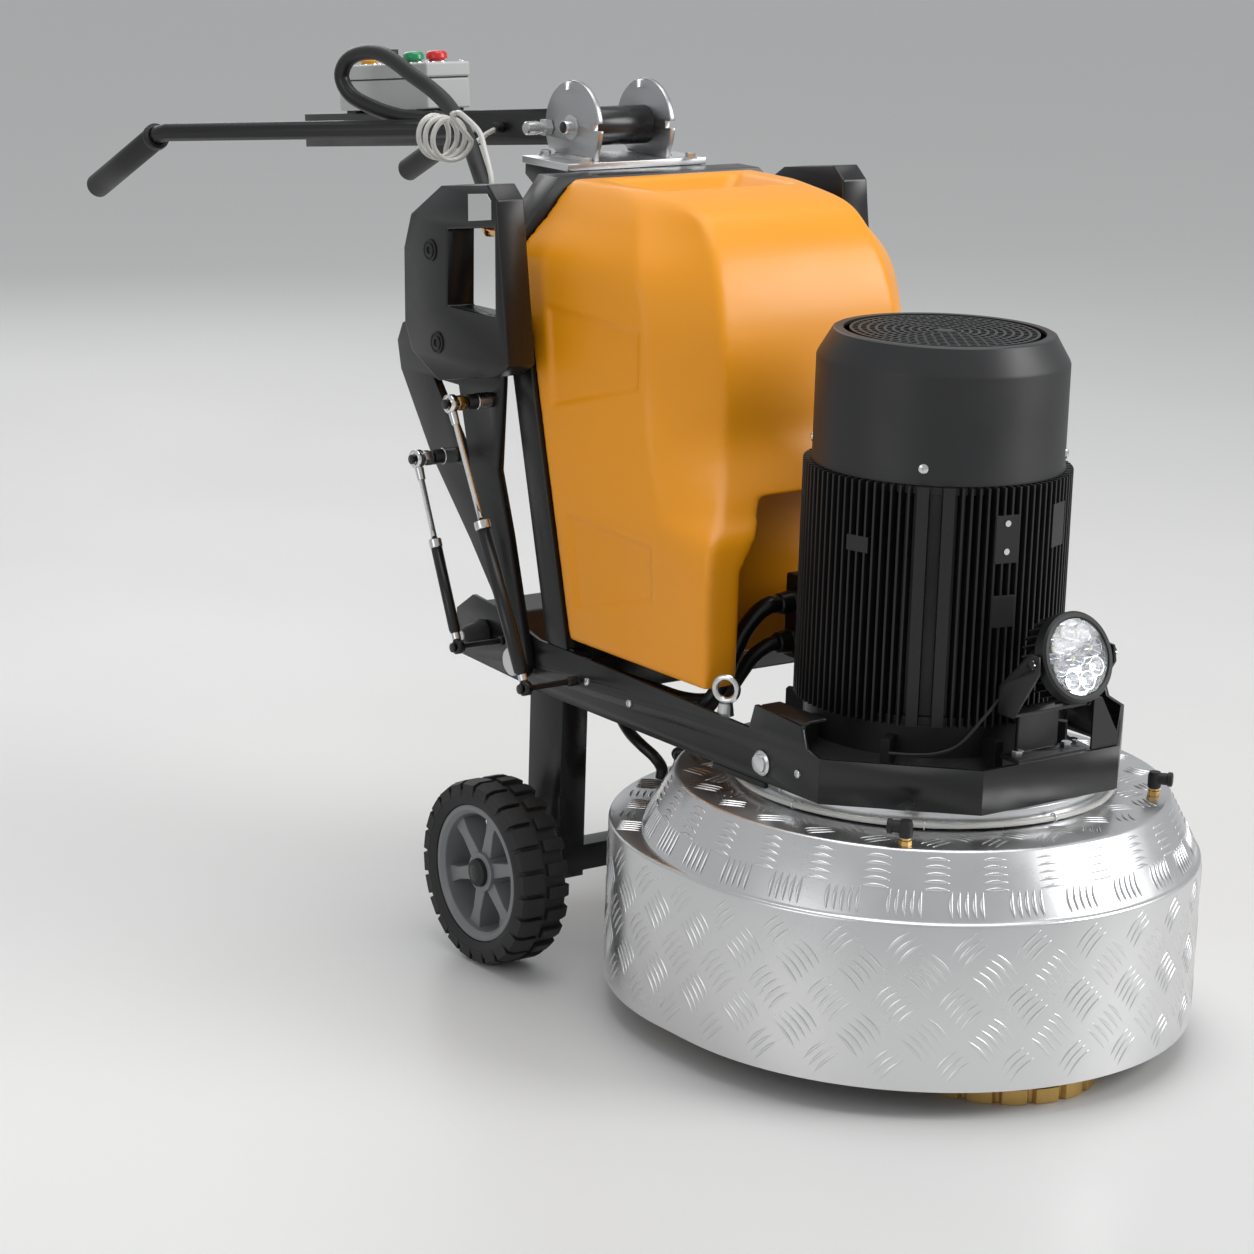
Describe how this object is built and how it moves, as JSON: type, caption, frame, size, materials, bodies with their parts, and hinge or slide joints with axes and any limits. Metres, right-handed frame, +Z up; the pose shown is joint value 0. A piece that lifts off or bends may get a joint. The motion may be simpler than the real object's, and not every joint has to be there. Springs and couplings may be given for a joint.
{
  "type": "walk-behind planetary floor grinder",
  "caption": "Walk-behind planetary concrete floor grinder with a water tank, swinging side weights, tread-plate dust skirt, finned motor, work lamp and tilting handle",
  "frame": {"origin": "middle of the footprint, on the floor", "axes": "+X is forward, toward the grinding head; +Y is the machine's left; +Z is up"},
  "size_m": [2.06, 0.755, 1.1537],
  "materials": {
    "black_paint": "satin powder coat",
    "motor_black": "painted casting, satin black",
    "tank_orange": "moulded, fine grain",
    "tread_plate": "five-bar tread plate, bright",
    "aluminium": "machined",
    "steel": "zinc plated",
    "chrome": "polished rod",
    "rubber": "matte moulded rubber",
    "tyre_rubber": "solid rubber tyre",
    "rim_grey": "moulded",
    "box_grey": "light grey enclosure",
    "diamond_gold": "metal-bond diamond segment",
    "lamp_glass": "clear lens",
    "button_red": "gloss",
    "button_green": "gloss",
    "button_yellow": "gloss",
    "knob_black": "satin",
    "winding_core": "wound core",
    "clear_hose": "clear tube",
    "cable_black": "satin sheath"
  },
  "bodies": {
    "frame": {"rail_right": "black_paint", "rail_left": "black_paint", "front_tray": "black_paint", "rear_crossbeam": "black_paint", "wheel_frame": "black_paint", "mast_post_right": "black_paint", "mast_post_left": "black_paint", "mast_top_bar": "black_paint", "water_tank": "tank_orange", "index_base_plate": "aluminium", "index_plate_right": "steel", "index_plate_left": "steel", "water_tube": "clear_hose", "motor_cable": "cable_black", "head_hose": "cable_black", "control_cable": "cable_black"},
    "lamp": {"lamp_housing": "motor_black", "lamp_lens": "lamp_glass"},
    "head": {"skirt": "tread_plate", "adapter_plate": "aluminium", "gear_case": "aluminium", "motor_housing": "motor_black", "fan_cover": "motor_black", "stator": "winding_core", "terminal_box": "motor_black"},
    "rotor": {"motor_rotor": "steel", "cooling_fan": "black_paint"},
    "drum": {"planet_drum": "aluminium"},
    "tool_1": {"tool_head_1": "black_paint", "diamond_ring_1": "diamond_gold"},
    "tool_2": {"tool_head_2": "black_paint", "diamond_ring_2": "diamond_gold"},
    "tool_3": {"tool_head_3": "black_paint", "diamond_ring_3": "diamond_gold"},
    "wheel_right": {"tyre_right": "tyre_rubber", "rim_right": "rim_grey"},
    "wheel_left": {"tyre_left": "tyre_rubber", "rim_left": "rim_grey"},
    "handle": {"handle_boom": "black_paint", "grip_right": "rubber", "grip_left": "rubber", "control_box": "box_grey", "water_coil": "clear_hose"},
    "stop_button_body": {"stop_button": "button_red"},
    "start_button_body": {"start_button": "button_green"},
    "yellow_button_body": {"yellow_button": "button_yellow"},
    "selector_body": {"selector_knob": "knob_black"},
    "plunger_body": {"lock_plunger": "steel"},
    "arm_right": {"weight_arm_right": "black_paint", "weight_right": "black_paint"},
    "long_barrel_right": {"gas_barrel_long_right": "black_paint"},
    "long_rod_right": {"gas_rod_long_right": "chrome"},
    "short_barrel_right": {"gas_barrel_short_right": "black_paint"},
    "short_rod_right": {"gas_rod_short_right": "chrome"},
    "arm_left": {"weight_arm_left": "black_paint", "weight_left": "black_paint"},
    "long_barrel_left": {"gas_barrel_long_left": "black_paint"},
    "long_rod_left": {"gas_rod_long_left": "chrome"},
    "short_barrel_left": {"gas_barrel_short_left": "black_paint"},
    "short_rod_left": {"gas_rod_short_left": "chrome"}
  },
  "joints": [
    {"name": "lamp_tilt", "type": "hinge", "parent": "frame", "child": "lamp", "pos_m": [0.932, 0, 0.54], "axis": [0, 1, 0], "range_deg": [-20, 20]},
    {"name": "head_float", "type": "hinge", "parent": "frame", "child": "head", "pos_m": [0.66, 0, 0.376], "axis": [0, 1, 0], "range_deg": [-0.7, 2.5], "deforming": ["head_hose", "motor_cable"]},
    {"name": "drum_spin", "type": "hinge", "parent": "head", "child": "drum", "pos_m": [0.67, 0, 0.163], "axis": [0, 0, 1], "continuous": true},
    {"name": "rotor_spin", "type": "hinge", "parent": "head", "child": "rotor", "pos_m": [0.67, 0, 0.5], "axis": [0, 0, 1], "continuous": true},
    {"name": "tool_spin_1", "type": "hinge", "parent": "drum", "child": "tool_1", "pos_m": [0.873, -0.02853, 0.1], "axis": [0, 0, 1], "continuous": true},
    {"name": "tool_spin_2", "type": "hinge", "parent": "drum", "child": "tool_2", "pos_m": [0.59321, 0.19007, 0.1], "axis": [0, 0, 1], "continuous": true},
    {"name": "tool_spin_3", "type": "hinge", "parent": "drum", "child": "tool_3", "pos_m": [0.54379, -0.16154, 0.1], "axis": [0, 0, 1], "continuous": true},
    {"name": "wheel_spin_right", "type": "hinge", "parent": "frame", "child": "wheel_right", "pos_m": [0.207, -0.34, 0.125], "axis": [0, 1, 0], "continuous": true},
    {"name": "wheel_spin_left", "type": "hinge", "parent": "frame", "child": "wheel_left", "pos_m": [0.207, 0.34, 0.125], "axis": [0, 1, 0], "continuous": true},
    {"name": "handle_tilt", "type": "hinge", "parent": "frame", "child": "handle", "pos_m": [-0.05, 0, 1.079], "axis": [0, 1, 0], "range_deg": [-10, 75], "deforming": ["control_cable", "water_tube"]},
    {"name": "stop_button_push", "type": "slide", "parent": "handle", "child": "stop_button_body", "axis": [0.1097, 0, -0.994], "range_m": [0, 0.003], "stiffness_N_per_m": 800, "springref_m": -0.002},
    {"name": "start_button_push", "type": "slide", "parent": "handle", "child": "start_button_body", "axis": [0.1097, 0, -0.994], "range_m": [0, 0.003], "stiffness_N_per_m": 800, "springref_m": -0.002},
    {"name": "yellow_button_push", "type": "slide", "parent": "handle", "child": "yellow_button_body", "axis": [0.1097, 0, -0.994], "range_m": [0, 0.003], "stiffness_N_per_m": 800, "springref_m": -0.002},
    {"name": "selector_turn", "type": "hinge", "parent": "handle", "child": "selector_body", "pos_m": [-0.61925, 0, 1.11374], "axis": [-0.1097, 0, 0.994], "range_deg": [-60, 60]},
    {"name": "plunger_pull", "type": "slide", "parent": "frame", "child": "plunger_body", "axis": [0, -1, 0], "range_m": [0, 0.012], "stiffness_N_per_m": 600, "springref_m": -0.004},
    {"name": "arm_hinge_right", "type": "hinge", "parent": "frame", "child": "arm_right", "pos_m": [0.14, -0.2565, 0.39], "axis": [0, 1, 0], "range_deg": [0, 30]},
    {"name": "long_barrel_hinge_right", "type": "hinge", "parent": "frame", "child": "long_barrel_right", "pos_m": [0.261, -0.335, 0.388], "axis": [0, 1, 0], "range_deg": [-0.5, 27.4]},
    {"name": "long_rod_slide_right", "type": "slide", "parent": "long_barrel_right", "child": "long_rod_right", "axis": [-0.4822, 0, 0.8761], "range_m": [-0.0601, 0.0005]},
    {"name": "short_barrel_hinge_right", "type": "hinge", "parent": "frame", "child": "short_barrel_right", "pos_m": [0.1, -0.335, 0.408], "axis": [0, 1, 0], "range_deg": [-0.5, 33.28]},
    {"name": "short_rod_slide_right", "type": "slide", "parent": "short_barrel_right", "child": "short_rod_right", "axis": [-0.4195, 0, 0.9077], "range_m": [-0.0005, 0.01887]},
    {"name": "arm_hinge_left", "type": "hinge", "parent": "frame", "child": "arm_left", "pos_m": [0.14, 0.2565, 0.39], "axis": [0, 1, 0], "range_deg": [0, 30]},
    {"name": "long_barrel_hinge_left", "type": "hinge", "parent": "frame", "child": "long_barrel_left", "pos_m": [0.261, 0.335, 0.388], "axis": [0, 1, 0], "range_deg": [-0.5, 27.4]},
    {"name": "long_rod_slide_left", "type": "slide", "parent": "long_barrel_left", "child": "long_rod_left", "axis": [-0.4822, 0, 0.8761], "range_m": [-0.0601, 0.0005]},
    {"name": "short_barrel_hinge_left", "type": "hinge", "parent": "frame", "child": "short_barrel_left", "pos_m": [0.1, 0.335, 0.408], "axis": [0, 1, 0], "range_deg": [-0.5, 33.28]},
    {"name": "short_rod_slide_left", "type": "slide", "parent": "short_barrel_left", "child": "short_rod_left", "axis": [-0.4195, 0, 0.9077], "range_m": [-0.0005, 0.01887]}
  ],
  "couplings": [
    {"joint": "rotor_spin", "follows": "drum_spin", "ratio": 5},
    {"joint": "tool_spin_1", "follows": "drum_spin", "ratio": -2.6667},
    {"joint": "tool_spin_2", "follows": "drum_spin", "ratio": -2.6667},
    {"joint": "tool_spin_3", "follows": "drum_spin", "ratio": -2.6667},
    {"joint": "long_barrel_hinge_right", "follows": "arm_hinge_right", "ratio": 0.89662},
    {"joint": "long_rod_slide_right", "follows": "arm_hinge_right", "m_per_rad": -0.11382},
    {"joint": "short_barrel_hinge_right", "follows": "arm_hinge_right", "ratio": 1.0927},
    {"joint": "short_rod_slide_right", "follows": "arm_hinge_right", "m_per_rad": 0.03509},
    {"joint": "long_barrel_hinge_left", "follows": "arm_hinge_left", "ratio": 0.89662},
    {"joint": "long_rod_slide_left", "follows": "arm_hinge_left", "m_per_rad": -0.11382},
    {"joint": "short_barrel_hinge_left", "follows": "arm_hinge_left", "ratio": 1.0927},
    {"joint": "short_rod_slide_left", "follows": "arm_hinge_left", "m_per_rad": 0.03509}
  ]
}
